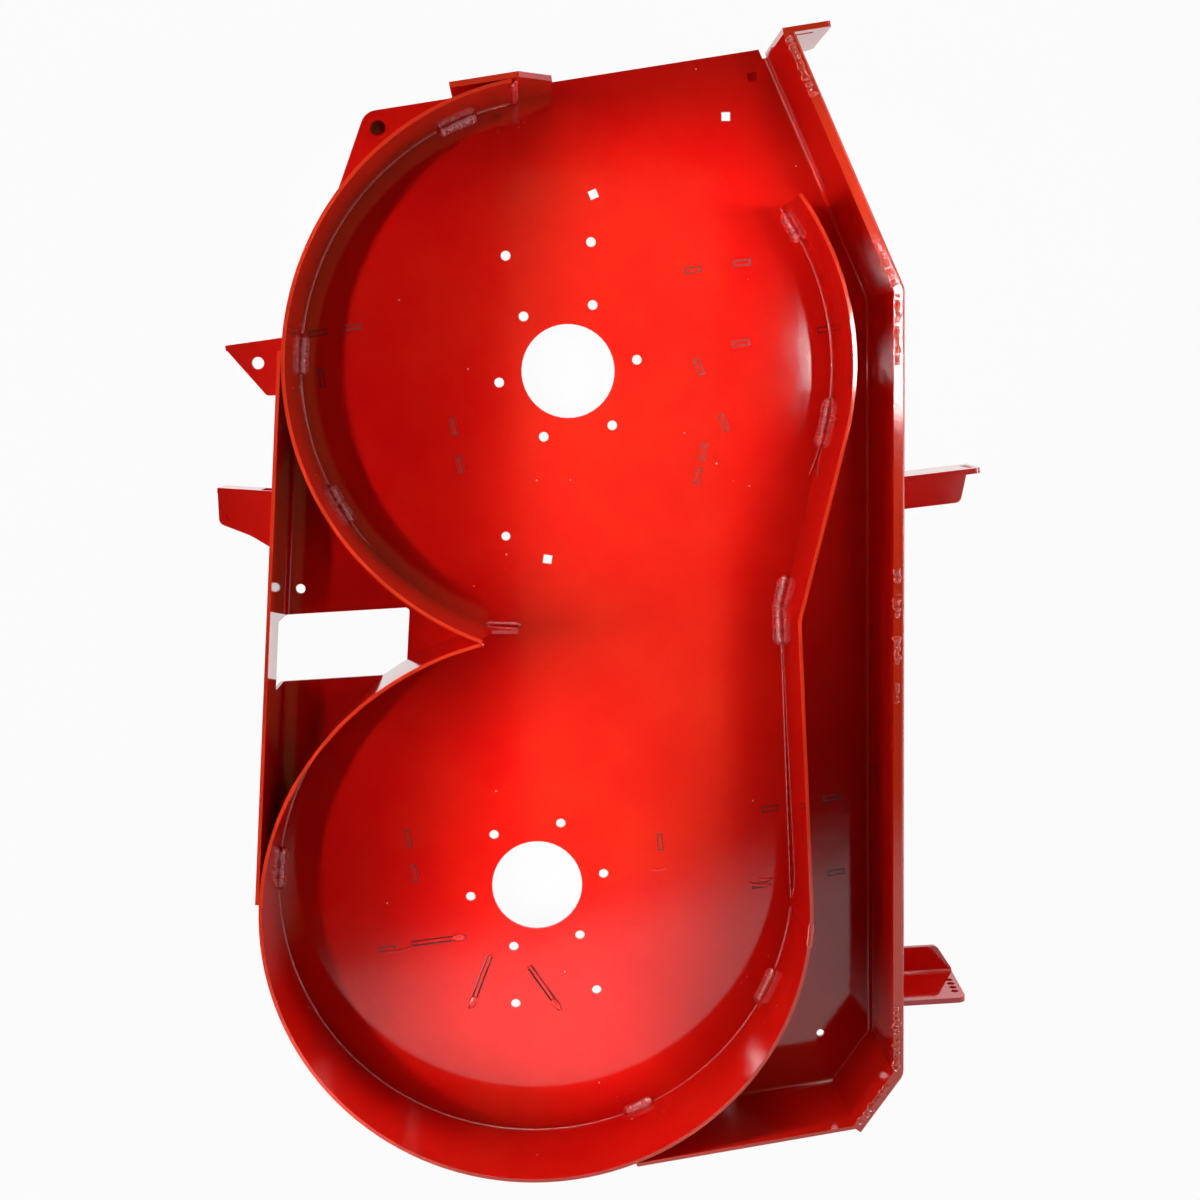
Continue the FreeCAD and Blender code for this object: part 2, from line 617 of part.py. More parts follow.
def chamber_walls(shell):
    """Walls of the two blade chambers, meeting at the rear cusp."""
    right = curved_wall(RIGHT_SPINDLE, RIGHT_WALL_START, RIGHT_EASE_ANGLE)
    right_end = eased_wall(RIGHT_SPINDLE, RIGHT_EASE_ANGLE, RIGHT_TIP)
    left = curved_wall(LEFT_SPINDLE, LEFT_EASE_ANGLE, LEFT_WALL_END)
    left_end = eased_wall(LEFT_SPINDLE, LEFT_EASE_ANGLE, LEFT_TIP)
    right = right.fuse(right_end).removeSplitter().cut(shell)
    left = left.fuse(left_end).removeSplitter().cut([shell, right])
    return right, left


def baffles():
    """Front walls of the two chambers, meeting at the front cusp."""
    cusp = FRONT_CUSP
    right_touch = tangent_bearing(RIGHT_SPINDLE, cusp, 1)
    left_touch = tangent_bearing(LEFT_SPINDLE, cusp, -1)
    inner_cusp = meet(
        cusp - unit(right_touch) * SHEET, unit(right_touch - 90),
        cusp - unit(left_touch) * SHEET, unit(left_touch - 90),
    )
    tip = (cusp, inner_cusp)
    right = tailed_wall(RIGHT_SPINDLE, right_touch, BAFFLE_END_ANGLE, tip)
    left = tailed_wall(LEFT_SPINDLE, left_touch, LEFT_WALL_END - 360, tip)
    return right, left


def cusp_tongue():
    """Low upright plate that carries the rear cusp on, with a flared root."""
    end_face = unit(bearing(RIGHT_TIP - ease_centre(RIGHT_SPINDLE, RIGHT_EASE_ANGLE, RIGHT_TIP)))
    root = RIGHT_TIP - end_face * (SHEET / 2)
    profile = [
        (-SHEET, 0, 0),
        (TONGUE_LENGTH, 0, 0),
        (TONGUE_LENGTH, TONGUE_END_HEIGHT, TONGUE_TIP_RADIUS),
        (TONGUE_ROOT, TONGUE_ROOT_HEIGHT, TONGUE_RADIUS),
        (0, TONGUE_TOP, 0),
        (-SHEET, TONGUE_TOP, 0),
    ]
    tongue = placed(prism(profile, 0, SHEET), root, REARWARD * -1, UP)
    inner = RIGHT_TIP - end_face * WALL_HEIGHT
    outer = RIGHT_TIP + end_face * WALL_HEIGHT
    behind = [inner, outer, outer + REARWARD * WALL_HEIGHT, inner + REARWARD * WALL_HEIGHT]
    return tongue.cut(prism(plain(behind), -OVERRUN, WALL_HEIGHT))


def nose_bar():
    """Flat bar bent round the front of the rim, with its outer edges rounded."""
    bottom = WALL_HEIGHT - NOSE_BAR_DEPTH
    seat = chain_corners(SHEET)
    face = chain_corners(SHEET + NOSE_BAR)
    chamfer = wall_lines(0)[2][1]
    end = seat[3] + UP.cross(chamfer) * NOSE_BAR
    before = face[1] - wall_lines(0)[0][1] * (2 * face[0].distanceToPoint(face[1]))
    beyond = face[2] + chamfer * (2 * face[2].distanceToPoint(end))
    block = [
        (before.x, before.y, 0),
        (face[1].x, face[1].y, NOSE_BAR_BEND),
        (face[2].x, face[2].y, NOSE_BAR_BEND),
        (beyond.x, beyond.y, 0),
        (0, beyond.y, 0),
        (0, before.y, 0),
    ]
    solid = prism(block, bottom, WALL_HEIGHT)
    rims = [edge for edge in solid.Edges if edge.BoundBox.ZLength < 1e-6]
    solid = solid.makeFillet(NOSE_BAR_EDGE, rims)
    footprint = plain(seat[:4]) + plain([end, face[2], face[1], face[0]])
    return solid.common(prism(footprint, bottom - OVERRUN, WALL_HEIGHT + OVERRUN))


def side_plate(profile, inner_offset):
    """Upright plate along the side, from an (along, height, radius) profile."""
    solid = prism(profile, 0, BRACKET)
    origin = SIDE_OUT * (inner_offset + BRACKET)
    return placed(solid, origin, SIDE, UP)


def discharge_stop():
    """Upright plate against the end of the right chamber wall."""
    profile = [
        (STOP_START, 0, 0),
        (STOP_END, 0, 0),
        (STOP_END, STOP_END_HEIGHT, 0),
        (STOP_SHOULDER, WALL_HEIGHT, 0),
        (STOP_START, WALL_HEIGHT, 0),
    ]
    return side_plate(profile, WALL_OUTER)


def chute_bracket():
    """Slotted plate across the end of the front wall and the nose bar."""
    start = chain_corners(0)[0].dot(SIDE)
    end = start + CHUTE_BRACKET_LENGTH
    profile = [
        (start, 0, 0),
        (start + SHEET + NOSE_BAR, -CHUTE_BRACKET_DROP, 0),
        (end - 2 * CHUTE_BRACKET_DROP, -CHUTE_BRACKET_DROP, 0),
        (end, CHUTE_BRACKET_DROP, CHUTE_BRACKET_RADIUS),
        (end, WALL_HEIGHT, CHUTE_BRACKET_RADIUS),
        (start, WALL_HEIGHT, 0),
    ]
    offset = DISCHARGE_EDGE_OFFSET - CHUTE_SETBACK - BRACKET
    middle = start + SHEET + NOSE_BAR + CHUTE_SLOT_INSET
    level = WALL_HEIGHT - CHUTE_SLOT_DEPTH
    half = CHUTE_SLOT_LENGTH / 2
    low = level - CHUTE_SLOT_WIDTH / 2
    high = level + CHUTE_SLOT_WIDTH / 2
    rounding = CHUTE_SLOT_RADIUS
    slot = [
        (middle - half, low, rounding),
        (middle + half, low, rounding),
        (middle + half, high, rounding),
        (middle - half, high, rounding),
    ]
    return side_plate(profile, offset).cut(side_plate(slot, offset))


def front_hanger(spindle, sizes, side):
    """Bent angle on the front wall, with a column of height holes near its free edge."""
    leftward, turn, length, low_length, flange, slant = sizes
    origin = Vector(FRONT_WALL_X + SHEET, spindle.y - leftward, 0)
    along = unit(turn)
    across = UP.cross(along) * side
    bottom = FRONT_HANGER_TOP - FRONT_HANGER_LEAF
    inner = BEND_RADIUS
    outer = BEND_RADIUS + BRACKET
    centre = Vector(outer, outer, 0)
    slope = unit(45) * -1
    section = Part.Wire([
        Part.LineSegment(Vector(0, FRONT_HANGER_LEAF, 0), Vector(0, outer, 0)).toShape(),
        Part.Arc(Vector(0, outer, 0), centre + slope * outer, Vector(outer, 0, 0)).toShape(),
        Part.LineSegment(Vector(outer, 0, 0), Vector(flange, 0, 0)).toShape(),
        Part.LineSegment(Vector(flange, 0, 0), Vector(flange, BRACKET, 0)).toShape(),
        Part.LineSegment(Vector(flange, BRACKET, 0), Vector(outer, BRACKET, 0)).toShape(),
        Part.Arc(Vector(outer, BRACKET, 0), centre + slope * inner, Vector(BRACKET, outer, 0)).toShape(),
        Part.LineSegment(Vector(BRACKET, outer, 0), Vector(BRACKET, FRONT_HANGER_LEAF, 0)).toShape(),
        Part.LineSegment(Vector(BRACKET, FRONT_HANGER_LEAF, 0), Vector(0, FRONT_HANGER_LEAF, 0)).toShape(),
    ])
    spare = 2 * SHEET
    foot = moved(origin, bottom) - along * spare
    solid = placed(Part.Face(section), foot, across, UP).extrude(along * (low_length + spare))
    leaf = [
        (-spare, 0, 0),
        (low_length, 0, 0),
        (length, FRONT_HANGER_LEAF, FRONT_HANGER_RADIUS),
        (-spare, FRONT_HANGER_LEAF, 0),
    ]
    reach = 2 * flange
    upright = placed(prism(leaf, -reach, reach), moved(origin, bottom), along, UP)
    flat = [
        (-spare, -OVERRUN, 0),
        (low_length + OVERRUN, -OVERRUN, 0),
        (low_length + OVERRUN, BRACKET, 0),
        (low_length - slant, flange, FRONT_HANGER_FLANGE_RADIUS),
        (-spare, flange, 0),
    ]
    level = placed(prism(flat, -FRONT_HANGER_TOP, FRONT_HANGER_TOP), moved(origin, bottom), along, across)
    solid = solid.common(upright).common(level)
    for index in range(FRONT_HANGER_HOLES):
        height = FRONT_HANGER_FIRST_HOLE + index * FRONT_HANGER_PITCH
        edge = low_length + (length - low_length) * height / FRONT_HANGER_LEAF
        place = moved(origin, bottom + height) + along * (edge - FRONT_HANGER_HOLE_EDGE)
        hole = Part.makeCylinder(FRONT_HANGER_HOLE / 2, 3 * BRACKET, place - across * BRACKET, across)
        solid = solid.cut(hole)
    notch_bottom = WALL_HEIGHT - NOSE_BAR_DEPTH - FRONT_HANGER_NOTCH_GAP
    wall = prism(plain([Vector(0, 0, 0), *chain_corners(SHEET)[:4]]), 0, WALL_HEIGHT)
    bar = prism(plain([Vector(0, 0, 0), *chain_corners(SHEET + NOSE_BAR)[:4]]), notch_bottom, WALL_HEIGHT)
    return solid.cut([wall, bar])


def from_rear_wall(out, along):
    """Place measured out from the rear wall and along the row from the right spindle."""
    return REARWARD * (REAR_WALL_OUTER + out) + ROW * along


def rear_hanger(places, hole, web_end, closed):
    """Bracket on the rear wall: a flange near the rim with a web bent down its long edge."""
    top = WALL_HEIGHT - REAR_HANGER_SINK
    corners = []
    for out, along_row, radius in places:
        place = from_rear_wall(out, along_row)
        corners.append((place.x, place.y, radius))
    first = Vector(*corners[0][:2], 0)
    second = Vector(*corners[1][:2], 0)
    along = (second - first).normalize()
    inward = along.cross(UP)
    flange = prism(corners, top - BRACKET, top)
    web_line = [
        first,
        first + along * web_end,
        first + along * web_end + inward * BRACKET,
        first + inward * BRACKET,
    ]
    web = prism(plain(web_line), top - REAR_HANGER_DEPTH, top)
    solid = flange.fuse(web)
    if closed:
        solid = solid.fuse(prism(corners, top - REAR_HANGER_DEPTH, top - REAR_HANGER_DEPTH + BRACKET))
    solid = solid.cut(disc(from_rear_wall(*hole[:2]), hole[2] / 2, top - 2 * BRACKET, top + OVERRUN))
    rear_face = REARWARD * REAR_WALL_OUTER
    deep = REARWARD * (REAR_WALL_OUTER / 2)
    long_way = ROW * (2 * SPINDLE_SPACING)
    inside = [rear_face, rear_face + long_way, deep + long_way, deep]
    body = prism(plain(inside), 0, WALL_HEIGHT)
    ring = disc(RIGHT_SPINDLE, WALL_OUTER, 0, WALL_HEIGHT)
    return solid.cut([body, ring]).removeSplitter()


def pivot_bushing():
    """Blind bushing let into the ear."""
    body = disc(BUSHING_CENTRE, BUSHING_DIAMETER / 2, -BUSHING_LENGTH, BUSHING_PROUD)
    bore = disc(BUSHING_CENTRE, BUSHING_BORE / 2, BUSHING_FLOOR - BUSHING_LENGTH, BUSHING_PROUD)
    return body.cut(bore)


def discharge_edge_angle():
    """Angle under the discharge edge, closing the two square holes beside it."""
    leg = EDGE_ANGLE_LEG
    toe = EDGE_ANGLE_TOE_RADIUS
    root = EDGE_ANGLE_ROOT_RADIUS
    section = [(0, 0, 0), (leg, 0, 0), (leg, -RIB, toe), (RIB, -RIB, root), (RIB, -leg, toe), (0, -leg, 0)]
    edge = DISCHARGE_EDGE_OFFSET - EDGE_ANGLE_INSET
    start = moved(SIDE_OUT * edge + SIDE * EDGE_ANGLE_START, BELT_FACE)
    face = Part.Face(outline(section))
    face = placed(face, start, SIDE_OUT * -1, UP)
    end = chain_corners(0)[0].dot(SIDE) - EDGE_ANGLE_GAP
    return face.extrude(SIDE * (end - EDGE_ANGLE_START))


def build():
    """Every piece of the deck by its name."""
    shell = deck_shell()
    right_wall, left_wall = chamber_walls(shell)
    right_baffle, left_baffle = baffles()
    pieces = {
        "deck_shell": shell,
        "right_chamber_wall": right_wall,
        "left_chamber_wall": left_wall,
        "right_baffle": right_baffle,
        "left_baffle": left_baffle,
        "cusp_tongue": cusp_tongue(),
        "nose_bar": nose_bar(),
        "discharge_stop": discharge_stop(),
        "chute_bracket": chute_bracket(),
        "front_hanger_right": front_hanger(RIGHT_SPINDLE, FRONT_HANGER_RIGHT, -1),
        "front_hanger_left": front_hanger(LEFT_SPINDLE, FRONT_HANGER_LEFT, 1),
        "rear_hanger_right": rear_hanger(
            REAR_HANGER_RIGHT, REAR_HANGER_RIGHT_HOLE, REAR_HANGER_RIGHT_WEB, False,
        ),
        "rear_hanger_left": rear_hanger(
            REAR_HANGER_LEFT, REAR_HANGER_LEFT_HOLE, REAR_HANGER_LEFT_WEB, True,
        ),
        "pivot_bushing": pivot_bushing(),
        "discharge_edge_angle": discharge_edge_angle(),
    }
    for rib in RIBS:
        pieces[rib.name] = rib.solid()
    return pieces


def main():
    os.makedirs("parts", exist_ok=True)
    for name, shape in build().items():
        solids = len(shape.Solids)
        print(f"{name}: {solids} solid, {shape.Volume / 1000:.1f} cm3, valid {shape.isValid()}")
        shape.exportStep(f"parts/{name}.step")


main()
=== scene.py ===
# %% [markdown]
# # A welded mower deck, powder-coated red
# The deck lies on its back with its open side up, and the camera looks down into it, as in the photograph.
# The steel pieces come ready made from the CAD frame. This lesson gives them their paint, adds the weld
# beads that join them, and sets up the studio. The first cell loads the frame and keeps its box, from
# which the floor's level and the rim's are taken.

# %% Load the deck
import json
import math
import random

import bmesh
import bpy
from mathutils import Matrix, Vector, noise


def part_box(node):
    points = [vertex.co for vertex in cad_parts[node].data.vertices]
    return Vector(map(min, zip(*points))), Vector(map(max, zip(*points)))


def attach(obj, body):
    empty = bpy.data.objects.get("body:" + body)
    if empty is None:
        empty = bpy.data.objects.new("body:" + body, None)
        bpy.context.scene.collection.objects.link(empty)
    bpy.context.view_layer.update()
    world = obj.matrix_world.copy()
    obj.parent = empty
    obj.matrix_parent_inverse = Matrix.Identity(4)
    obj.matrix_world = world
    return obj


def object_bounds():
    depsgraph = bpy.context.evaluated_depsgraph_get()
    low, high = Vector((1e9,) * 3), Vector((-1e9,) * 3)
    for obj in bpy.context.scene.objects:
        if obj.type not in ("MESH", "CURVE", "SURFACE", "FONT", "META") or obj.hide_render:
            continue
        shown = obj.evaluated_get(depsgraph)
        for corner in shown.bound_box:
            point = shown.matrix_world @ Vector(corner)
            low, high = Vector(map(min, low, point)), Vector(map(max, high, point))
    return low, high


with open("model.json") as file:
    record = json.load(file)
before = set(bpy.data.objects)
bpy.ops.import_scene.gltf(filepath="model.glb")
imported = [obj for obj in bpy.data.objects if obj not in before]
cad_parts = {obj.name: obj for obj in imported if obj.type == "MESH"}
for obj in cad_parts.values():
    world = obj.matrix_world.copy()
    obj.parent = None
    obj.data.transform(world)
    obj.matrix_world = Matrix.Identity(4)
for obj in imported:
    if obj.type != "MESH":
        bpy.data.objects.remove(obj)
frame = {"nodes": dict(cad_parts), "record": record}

CAD_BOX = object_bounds()
DECK_NODES = list(frame["nodes"])
print(len(DECK_NODES), "pieces of steel, box", CAD_BOX)

# %% [markdown]
# ## The camera
# A product photographer hangs the camera straight above a big flat part. This one was about a metre and a
# half above the plate and a little off the vertical, which is why the inner faces of the walls show more on
# one side. A camera is placed best by three vectors: where it is, which way it looks, and which way is up.

# %% Camera
def turned_camera(name, place, forward, up, lens):
    """A camera from its place, view direction and up direction."""
    data = bpy.data.cameras.new(name)
    data.lens = lens
    data.sensor_fit = "HORIZONTAL"
    data.sensor_width = 36.0
    data.clip_start = 0.05
    data.clip_end = 30.0
    back = -Vector(forward).normalized()
    right = Vector(up).cross(back).normalized()
    true_up = back.cross(right)
    turn = Matrix((right, true_up, back)).transposed().to_4x4()
    camera = bpy.data.objects.new(name, data)
    camera.matrix_world = Matrix.Translation(place) @ turn
    bpy.context.scene.collection.objects.link(camera)
    return camera


camera = turned_camera(
    "overhead_camera",
    place=(-0.03614, -0.01926, 1.48217),
    forward=(0.03997, -0.12088, -0.99186),
    up=(0.02512, 0.99246, -0.11994),
    lens=51.0,
)
bpy.context.scene.camera = camera
print("camera", round(camera.location.z, 3), "m above the plate")

# %% [markdown]
# ## The floor and the white surround
# The photograph has a clean white ground that also shows through the holes. The floor is a pale sheet just
# under the ribs. The camera and mirror reflections see it almost pure white, because a Light Path node shows
# them a plain white emission, while the light that it throws back onto the steel is that of pale paper. The
# studio's walls are white in the same way, but its ceiling is dark, so the flat plate, which mirrors what is
# straight above it, stays deep red while the round weld beads catch pale highlights. A white screen leans in
# over the near end: the glossy plate mirrors it as the pale shape at the bottom of the picture.

# %% Floor and world
def combined(tree, operation, first, second):
    """One Math node on two values of a node tree; the second may be a plain number."""
    node = tree.nodes.new("ShaderNodeMath")
    node.operation = operation
    tree.links.new(first, node.inputs[0])
    if isinstance(second, float):
        node.inputs[1].default_value = second
    else:
        tree.links.new(second, node.inputs[1])
    return node.outputs[0]


def white_where_seen(tree, surface, share, mirror_share=None):
    """Mixes a shader with plain white where the camera sees it, directly or in a mirror reflection."""
    nodes, links = tree.nodes, tree.links
    path = nodes.new("ShaderNodeLightPath")
    white = nodes.new("ShaderNodeEmission")
    white.inputs["Color"].default_value = (1.0, 1.0, 1.0, 1.0)
    white.inputs["Strength"].default_value = 1.0
    unscattered = combined(tree, "LESS_THAN", path.outputs["Diffuse Depth"], 0.5)
    mirrored = combined(tree, "MULTIPLY", path.outputs["Is Glossy Ray"], unscattered)
    if mirror_share is not None:
        mirrored = combined(tree, "MULTIPLY", mirrored, mirror_share)
    seen = combined(tree, "MAXIMUM", path.outputs["Is Camera Ray"], mirrored)
    mix = nodes.new("ShaderNodeMixShader")
    links.new(combined(tree, "MULTIPLY", seen, share), mix.inputs["Fac"])
    links.new(surface, mix.inputs[1])
    links.new(white.outputs[0], mix.inputs[2])
    return mix.outputs[0]


FLOOR_GAP = 0.0005
FLOOR_REACH = 4.0
FLOOR_WHITE = 0.95
FLOOR_LEVEL = CAD_BOX[0][2] - FLOOR_GAP
floor_mesh = bmesh.new()
bmesh.ops.create_grid(floor_mesh, x_segments=1, y_segments=1, size=FLOOR_REACH)
bmesh.ops.translate(floor_mesh, verts=floor_mesh.verts, vec=(0, 0, FLOOR_LEVEL))
floor_data = bpy.data.meshes.new("studio_floor")
floor_mesh.to_mesh(floor_data)
floor_mesh.free()
floor = bpy.data.objects.new("studio_floor", floor_data)
bpy.context.scene.collection.objects.link(floor)

floor_paint = bpy.data.materials.new("pale_floor")
floor_paint.use_nodes = True
floor_tree = floor_paint.node_tree
floor_shader = floor_tree.nodes["Principled BSDF"]
floor_shader.inputs["Base Color"].default_value = (0.80, 0.80, 0.80, 1.0)
floor_shader.inputs["Roughness"].default_value = 0.6
floor_seen = white_where_seen(floor_tree, floor_shader.outputs[0], FLOOR_WHITE)
floor_tree.links.new(floor_seen, floor_tree.nodes["Material Output"].inputs["Surface"])
floor_data.materials.append(floor_paint)

CEILING_EDGE = 0.86
WALL_EDGE = 0.66
SCREEN_FACING = (-0.234, 1.0, 0.3245)
SCREEN_FADE = 0.025


def white_between(tree, value, start, end):
    """Nought at the first value and one at the second, with a soft change between them."""
    node = tree.nodes.new("ShaderNodeMapRange")
    node.interpolation_type = "SMOOTHSTEP"
    node.inputs["From Min"].default_value = start
    node.inputs["From Max"].default_value = end
    tree.links.new(value, node.inputs["Value"])
    return node.outputs["Result"]


world = bpy.data.worlds.new("studio_air")
bpy.context.scene.world = world
world.use_nodes = True
air_tree = world.node_tree
air = air_tree.nodes["Background"]
air.inputs["Color"].default_value = (1.0, 0.96, 0.94, 1.0)
air.inputs["Strength"].default_value = 0.004
sky = air_tree.nodes.new("ShaderNodeTexCoord")
height = air_tree.nodes.new("ShaderNodeSeparateXYZ")
air_tree.links.new(sky.outputs["Generated"], height.inputs["Vector"])
walls = white_between(air_tree, height.outputs["Z"], CEILING_EDGE, WALL_EDGE)
facing = air_tree.nodes.new("ShaderNodeVectorMath")
facing.operation = "DOT_PRODUCT"
facing.inputs[1].default_value = SCREEN_FACING
air_tree.links.new(sky.outputs["Generated"], facing.inputs[0])
screen = white_between(air_tree, facing.outputs["Value"], SCREEN_FADE, -SCREEN_FADE)
surround = combined(air_tree, "MAXIMUM", walls, screen)
air_seen = white_where_seen(air_tree, air.outputs[0], 1.0, surround)
air_tree.links.new(air_seen, air_tree.nodes["World Output"].inputs["Surface"])

bpy.context.scene.view_settings.view_transform = "Standard"
print("floor at", round(FLOOR_LEVEL, 4))

# %% [markdown]
# ## The lamps
# The open middle of the deck is bright and everything near a wall is deep crimson, because the tall walls
# shade the light that comes in over them. The rear side is dark over a wider strip than the front side, so
# most of the light from the rear is low and most of the light from the front is high. One soft box on each
# long side gives the general level, and a faint warm one overhead takes the hard edge off the reds.

# %% Soft boxes
def soft_box(name, place, target, width, height, power, roll=0.0, spread=180.0, warmth=0.0):
    """A rectangular area lamp that faces a target; its width lies level and turns by the roll."""
    data = bpy.data.lights.new(name, "AREA")
    data.shape = "RECTANGLE"
    data.size = width
    data.size_y = height
    data.energy = power
    data.spread = math.radians(spread)
    data.color = (1.0, 1.0 - 0.3 * warmth, 1.0 - warmth)
    ray = (Vector(target) - Vector(place)).normalized()
    back = -ray
    level = Vector((math.cos(math.radians(roll)), math.sin(math.radians(roll)), 0))
    level = (level - back * level.dot(back)).normalized()
    turn = Matrix((level, back.cross(level), back)).transposed().to_4x4()
    lamp = bpy.data.objects.new(name, data)
    lamp.matrix_world = Matrix.Translation(place) @ turn
    bpy.context.scene.collection.objects.link(lamp)
    return lamp


soft_box(
    "rear_box", (-1.76, -0.23, 1.40), (0.0, -0.23, 0.0), width=2.2, height=0.45, power=9, roll=90
)
soft_box(
    "front_box", (1.10, -0.23, 2.10), (0.0, -0.23, 0.0), width=2.0, height=0.50, power=2.2, roll=90
)
soft_box(
    "veil_box", (0.18, -0.35, 2.60), (0.12, -0.30, 0.0), width=0.5, height=1.7, power=0.75, warmth=0.7
)
print("three soft boxes")

# %% [markdown]
# ## Low boxes for the upright faces
# Four boxes stand just above the floor, one on each side. They light the outside of the walls and the
# brackets, and skim over the rim to the inside of the wall beyond, while the floor of the deck stays in the
# walls' shade. That is why the walls look brighter than the plate at their feet.

# %% Low boxes
DECK_MIDDLE = Vector((0.0, -0.23, 0.05))
LOW_WIDTH = 1.5
LOW_HEIGHT = 0.35
for name, toward, roll, power in (
    ("low_front", (2.0, 0.0, 0.36), 90, 2.6),
    ("low_rear", (-2.0, 0.0, 0.36), 90, 2.4),
    ("low_far", (0.0, 2.2, 0.40), 0, 4.2),
    ("low_near", (0.0, -2.2, 0.40), 0, 2.6),
):
    place = DECK_MIDDLE + Vector(toward)
    soft_box(name, place, DECK_MIDDLE, LOW_WIDTH, LOW_HEIGHT, power, roll=roll, spread=70)
print("four low boxes")

# %% [markdown]
# ## Beams for the bright band
# The bright band runs the length of the plate and leans a little, and its edges are soft. A fan of narrow
# beams at several heights makes it: each one ends on the same band, and each meets the walls' shade at
# another distance. Two more high beams from the rear brighten the back of each round chamber.

# %% Beams
BAND_MIDDLE = Vector((0.045, -0.22, 0.0))
BAND_TURN = 78
BAND_LENGTH = 0.86
BAND_WIDTH = 0.23
BEAM_REACH = 2.1


def band_beams(name, rises, side, power):
    """Narrow beams at several heights on one side, all aimed at the same band of the plate."""
    for rise in rises:
        tilt = math.radians(rise)
        place = BAND_MIDDLE + Vector((side * math.cos(tilt), 0.0, math.sin(tilt))) * BEAM_REACH
        width = BAND_WIDTH * math.sin(tilt)
        label = f"{name}_{rise}"
        soft_box(label, place, BAND_MIDDLE, BAND_LENGTH, width, power, roll=BAND_TURN, spread=4)


band_beams("rear_beam", (28, 34, 40, 46, 52, 58), -1, 0.046)
band_beams("front_beam", (60, 66, 72), 1, 0.076)
for side, middle in (("right", 0.0), ("left", -0.47)):
    place = (-0.84, middle, 1.95)
    spot = (-0.09, middle, 0.0)
    soft_box(f"{side}_high_beam", place, spot, width=0.36, height=0.24, power=0.12, roll=90, spread=5)
print("eleven beams")

# %% [markdown]
# ## Small lamps for the highlights
# A glossy coat shows a small lamp as a crisp white spot. One stands where the plate mirrors it beside the
# front baffle, and a second, longer one where the nose bar and the rim mirror it. They are small, so they
# hardly change the light on anything else.

# %% Highlight lamps
FRONT_SPOT = (0.15, 0.06, 0.0)
NOSE_SPOT = (0.30, 0.08, 0.1)
soft_box(
    "front_lamp", (0.63, 0.055, 2.20), FRONT_SPOT, width=0.13, height=0.05, power=0.055, roll=90, spread=36
)
soft_box(
    "nose_lamp", (0.80, 0.10, 2.20), NOSE_SPOT, width=0.34, height=0.12, power=0.09, roll=90, spread=16
)

# %% [markdown]
# ## Red powder coat
# Powder coat is a thick baked film. It is glossy, but not flat like glass: it sets with a faint orange peel,
# it pools a little darker here and there, and dust leaves tiny pale grains. All of that is built from noise
# on Object coordinates, so that the finish stays at the same scale on every piece. The flat tops of the rim
# face the lamps unshaded, so they are given a lighter orange red: a painted highlight.

# %% Powder coat
RIM_LEVEL = CAD_BOX[1][2] - 0.0003
# A lighter orange red for the rim tops: a painted highlight.
RIM_HIGHLIGHT_RED = (0.95, 0.05, 0.016)
CLOUD_SCALE = 9.0
CLOUD_START = 0.36
CLOUD_END = 0.66
GRAIN_SCALE = 70.0
GRAIN_REACH = 0.055
GRAIN_COLOUR = (0.75, 0.42, 0.38)
BARE_SHARE = 0.93             # of the cells, which hold no grain
PEEL_SCALE = 420.0
WAVE_SCALE = 28.0


def noise_field(tree, place, scale, detail, rough=0.5):
    """Noise on the Object coordinates of a piece."""
    node = tree.nodes.new("ShaderNodeTexNoise")
    node.inputs["Scale"].default_value = scale
    node.inputs["Detail"].default_value = detail
    node.inputs["Roughness"].default_value = rough
    tree.links.new(place.outputs["Object"], node.inputs["Vector"])
    return node.outputs["Fac"]


def painted(tree, base, colour, where):
    """A colour with another one laid over it where a value is one."""
    node = tree.nodes.new("ShaderNodeMix")
    node.data_type = "RGBA"
    node.inputs["B"].default_value = (*colour, 1.0)
    tree.links.new(where, node.inputs["Factor"])
    tree.links.new(base, node.inputs["A"])
    return node.outputs["Result"]


def embossed(tree, height, strength, distance):
    """A Bump node on a height."""
    node = tree.nodes.new("ShaderNodeBump")
    node.inputs["Strength"].default_value = strength
    node.inputs["Distance"].default_value = distance
    tree.links.new(height, node.inputs["Height"])
    return node


